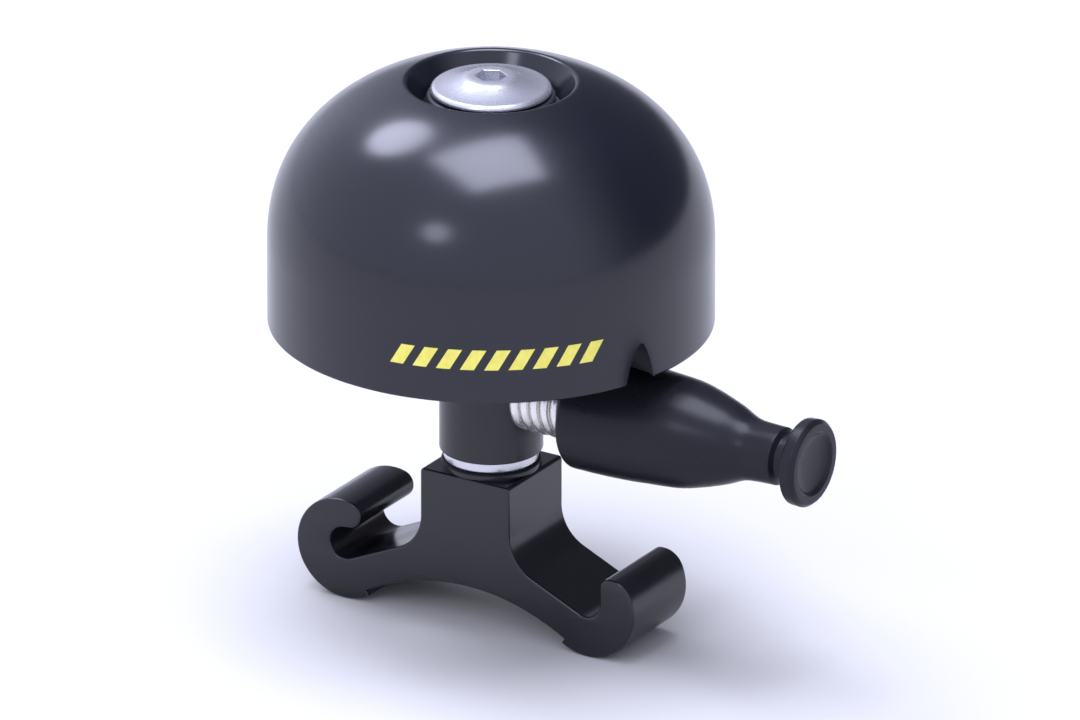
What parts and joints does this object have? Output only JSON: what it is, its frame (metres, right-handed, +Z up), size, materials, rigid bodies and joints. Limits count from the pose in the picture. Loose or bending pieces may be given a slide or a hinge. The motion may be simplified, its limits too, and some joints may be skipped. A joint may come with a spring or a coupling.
{
  "type": "bicycle bell",
  "caption": "Domed bicycle bell on a bolted post, with a sprung flick striker and a handlebar saddle with strap hooks.",
  "frame": {"origin": "crown of the saddle's underside on the bolt's axis, where it touches the top of the handlebar", "axes": "+Z up along the bolt, +X along the striker, +Y along the handlebar"},
  "size_m": [0.0484, 0.036, 0.0466],
  "materials": {
    "dome_finish": "satin",
    "polished_steel": "polished",
    "bush_plastic": "matt",
    "post_finish": "satin",
    "bright_steel": "turned",
    "saddle_plastic": "satin",
    "insert_brass": "turned",
    "spring_steel": "bright",
    "striker_finish": "semi-gloss",
    "knob_finish": "semi-gloss"
  },
  "bodies": {
    "saddle": {"saddle_base": "saddle_plastic", "threaded_insert": "insert_brass", "clamp_bolt": "polished_steel", "base_washer": "bright_steel"},
    "dome": {"dome": "dome_finish", "upper_bush": "bush_plastic", "lower_bush": "bush_plastic"},
    "post": {"striker_post": "post_finish", "spring_stud": "bright_steel"},
    "spring": {"striker_spring": "spring_steel"},
    "striker": {"striker_sleeve": "striker_finish", "striker_core": "bright_steel", "striker_knob": "knob_finish"}
  },
  "joints": [
    {"name": "dome_turn", "type": "hinge", "parent": "saddle", "child": "dome", "pos_m": [0, 0, 0.0395], "axis": [0, 0, 1], "continuous": true},
    {"name": "post_swivel", "type": "hinge", "parent": "saddle", "child": "post", "pos_m": [0, 0, 0.01595], "axis": [0, 0, 1], "continuous": true},
    {"name": "striker_flick", "type": "hinge", "parent": "post", "child": "spring", "pos_m": [0.0058, 0, 0.01595], "axis": [0, -1, 0], "range_deg": [-22, 7], "stiffness_Nm_per_rad": 0.06, "deforming": ["striker_spring"]},
    {"name": "striker_sway", "type": "hinge", "parent": "spring", "child": "striker", "pos_m": [0.00805, 0, 0.01595], "axis": [0, 0, 1], "range_deg": [-10, 10], "stiffness_Nm_per_rad": 0.06, "deforming": ["striker_spring"]}
  ]
}
